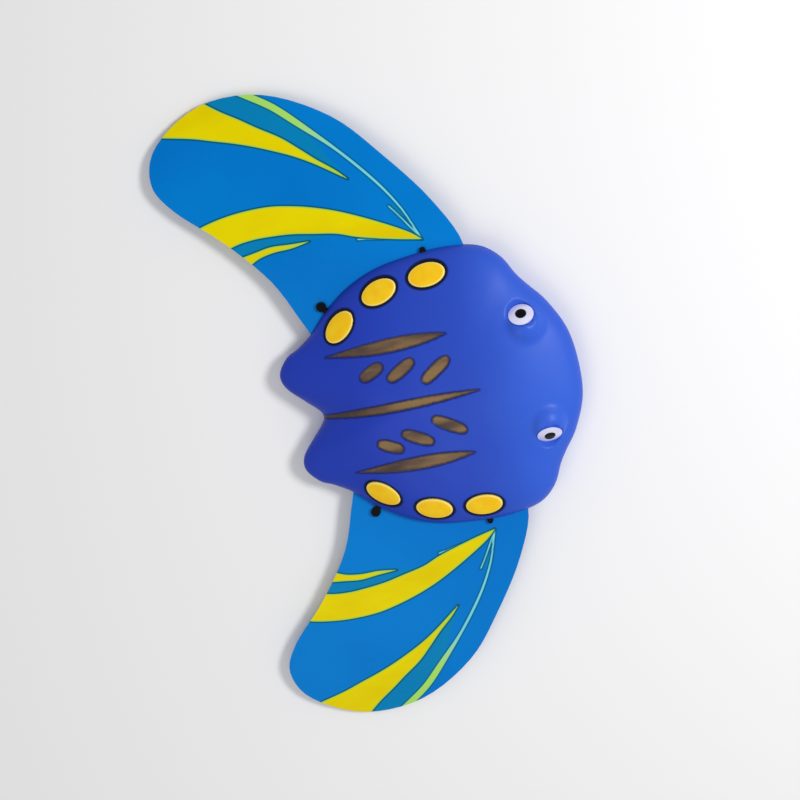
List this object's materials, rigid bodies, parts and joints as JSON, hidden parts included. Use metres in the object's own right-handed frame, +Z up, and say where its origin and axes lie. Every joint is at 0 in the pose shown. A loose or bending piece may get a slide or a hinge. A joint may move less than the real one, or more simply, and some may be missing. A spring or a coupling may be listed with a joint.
{
  "type": "hand-launched stingray glider toy",
  "caption": "Stingray-shaped hand glider with a domed two-shell body, oval snap studs and flexible printed wings that swing forward and back.",
  "frame": {"origin": "on the flat belly face, on the centre plane, level with the middle of the row of studs", "axes": "+Z up out of the back; the nose points to -Y and the tail to +Y; the wings lie along X, with the glider's left wing at +X"},
  "size_m": [0.4464, 0.2534, 0.0372],
  "materials": {
    "body_plastic": "moulded plastic, satin, royal blue, darker towards the rim",
    "wing_sheet": "flexible printed plastic sheet, glossy, azure with swooshes",
    "stud_plastic": "moulded plastic, glossy, golden yellow",
    "brake_rubber": "soft rubber, matt black",
    "eye_white": "moulded plastic, glossy white",
    "eye_pupil": "moulded plastic, glossy black",
    "plate_plastic": "moulded plastic, satin white",
    "ballast": "plain steel slug, zinc dipped"
  },
  "bodies": {
    "body": {"back_shell": "body_plastic", "belly_shell": "body_plastic", "stud_cap_left_front": "stud_plastic", "stud_cap_left_mid": "stud_plastic", "stud_cap_left_rear": "stud_plastic", "stud_cap_right_front": "stud_plastic", "stud_cap_right_mid": "stud_plastic", "stud_cap_right_rear": "stud_plastic", "stud_post_left_front": "stud_plastic", "stud_post_left_mid": "stud_plastic", "stud_post_left_rear": "stud_plastic", "stud_post_right_front": "stud_plastic", "stud_post_right_mid": "stud_plastic", "stud_post_right_rear": "stud_plastic", "wing_brake_left_front": "brake_rubber", "wing_brake_left_rear": "brake_rubber", "wing_brake_right_front": "brake_rubber", "wing_brake_right_rear": "brake_rubber", "eye_white_left": "eye_white", "eye_white_right": "eye_white", "eye_pupil_left": "eye_pupil", "eye_pupil_right": "eye_pupil", "mouth_plate": "plate_plastic", "gill_plate_left": "plate_plastic", "gill_plate_right": "plate_plastic", "ballast_slug": "ballast"},
    "wing_left": {"wing_left": "wing_sheet"},
    "wing_right": {"wing_right": "wing_sheet"}
  },
  "joints": [
    {"name": "wing_left_swing", "type": "hinge", "parent": "body", "child": "wing_left", "pos_m": [0.08034, -0.03462, 0.0128], "axis": [0, 0, 1], "range_deg": [-10, 6]},
    {"name": "wing_right_swing", "type": "hinge", "parent": "body", "child": "wing_right", "pos_m": [-0.08034, -0.03462, 0.0128], "axis": [0, 0, 1], "range_deg": [-6, 10]}
  ]
}
